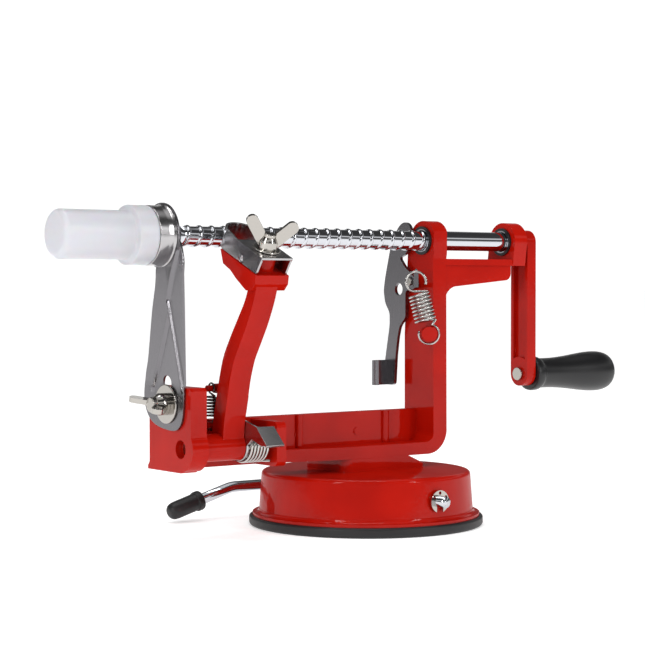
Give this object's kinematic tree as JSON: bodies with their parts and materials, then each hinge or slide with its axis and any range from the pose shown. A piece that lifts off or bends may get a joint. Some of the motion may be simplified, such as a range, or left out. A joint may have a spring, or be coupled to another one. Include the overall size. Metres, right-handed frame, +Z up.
{
  "type": "apple peeler",
  "caption": "Hand-cranked fruit peeler, corer and slicer: threaded fork shaft, sprung peeling arm, ring corer with slicing blade, suction base with lever.",
  "frame": {"origin": "centre of the suction cup's underside, on the table", "axes": "+X along the drive shaft towards the crank, -Y towards the user, +Z up"},
  "size_m": [0.2952, 0.1039, 0.1344],
  "materials": {
    "red_enamel": "glossy enamel on a casting",
    "rubber": "satin black rubber",
    "steel": "brushed stainless sheet",
    "chrome": "bright plating",
    "black_plastic": "satin black",
    "frosted_plastic": "frosted, lets light through"
  },
  "bodies": {
    "stand": {"suction_cup": "rubber", "base_housing": "red_enamel", "frame_casting": "red_enamel", "frame_screws": "steel", "left_bush": "black_plastic", "right_bush": "black_plastic", "release_pivot": "chrome", "release_spring": "chrome", "corer_bolt": "chrome", "corer_washer": "chrome", "peeler_axle": "steel", "arm_spring": "chrome", "latch_spring": "chrome"},
    "suction_lever": {"lever_rod": "chrome", "lever_grip": "rubber", "lever_clip": "chrome"},
    "plunger": {"cup_plunger": "steel"},
    "sleeves": {"shaft_sleeves": "chrome"},
    "shaft": {"drive_shaft": "chrome", "apple_fork": "chrome", "crank_arm": "red_enamel", "grip_pin": "chrome"},
    "grip": {"crank_grip": "black_plastic"},
    "thread_release": {"release_lever": "steel"},
    "corer": {"corer_arm": "steel", "corer_ring": "steel"},
    "corer_clamp": {"corer_nut": "chrome"},
    "cap": {"safety_cap": "frosted_plastic"},
    "peeler": {"peeler_arm": "red_enamel", "blade_bolt": "chrome", "blade_washer": "chrome"},
    "blade": {"peeling_blade": "steel"},
    "blade_clamp": {"blade_nut": "chrome"},
    "latch": {"latch_lever": "steel"}
  },
  "joints": [
    {"name": "shaft_turn", "type": "hinge", "parent": "stand", "child": "sleeves", "pos_m": [0, 0, 0.1214], "axis": [1, 0, 0], "range_deg": [0, 6480]},
    {"name": "shaft_feed", "type": "slide", "parent": "sleeves", "child": "shaft", "axis": [1, 0, 0], "range_m": [0, 0.1036]},
    {"name": "grip_spin", "type": "hinge", "parent": "shaft", "child": "grip", "pos_m": [0.1, 0, 0.0614], "axis": [1, 0, 0], "continuous": true},
    {"name": "lever_swing", "type": "hinge", "parent": "stand", "child": "suction_lever", "pos_m": [0.002, 0, 0.0135], "axis": [0, 1, 0], "range_deg": [0, 180]},
    {"name": "plunger_lift", "type": "slide", "parent": "stand", "child": "plunger", "axis": [0, 0, 1], "range_m": [0, 0.003]},
    {"name": "release_press", "type": "hinge", "parent": "stand", "child": "thread_release", "pos_m": [0.0297, 0.0059, 0.1035], "axis": [1, 0, 0], "range_deg": [-12, 0], "stiffness_Nm_per_rad": 0.04, "springref_deg": 14.32, "deforming": ["release_spring"]},
    {"name": "corer_height", "type": "slide", "parent": "stand", "child": "corer", "axis": [0, 0, 1], "range_m": [-0.0008, 0.0008]},
    {"name": "corer_nut_turn", "type": "hinge", "parent": "stand", "child": "corer_clamp", "pos_m": [-0.1015, 0.0015, 0.0548], "axis": [1, 0, 0], "continuous": true},
    {"name": "cap_pull", "type": "slide", "parent": "corer", "child": "cap", "axis": [-1, 0, 0], "range_m": [0, 0.045]},
    {"name": "peeler_swing", "type": "hinge", "parent": "stand", "child": "peeler", "pos_m": [-0.0753, -0.0066, 0.0372], "axis": [1, 0, 0], "range_deg": [0, 35], "stiffness_Nm_per_rad": 0.06, "springref_deg": -28.65, "deforming": ["arm_spring"]},
    {"name": "blade_reach", "type": "slide", "parent": "peeler", "child": "blade", "axis": [0, 0.9178, 0.3971], "range_m": [-0.004, 0.0012]},
    {"name": "blade_nut_turn", "type": "hinge", "parent": "peeler", "child": "blade_clamp", "pos_m": [-0.07385, -0.03173, 0.11563], "axis": [0, -0.3971, 0.9178], "continuous": true},
    {"name": "latch_press", "type": "hinge", "parent": "stand", "child": "latch", "pos_m": [-0.0694, -0.0066, 0.0372], "axis": [1, 0, 0], "range_deg": [0, 14], "stiffness_Nm_per_rad": 0.02, "springref_deg": -17.19, "deforming": ["latch_spring"]}
  ],
  "couplings": [
    {"joint": "shaft_feed", "follows": "shaft_turn", "m_per_rad": 0.00091514},
    {"joint": "plunger_lift", "follows": "lever_swing", "m_per_rad": 0.00095493}
  ]
}
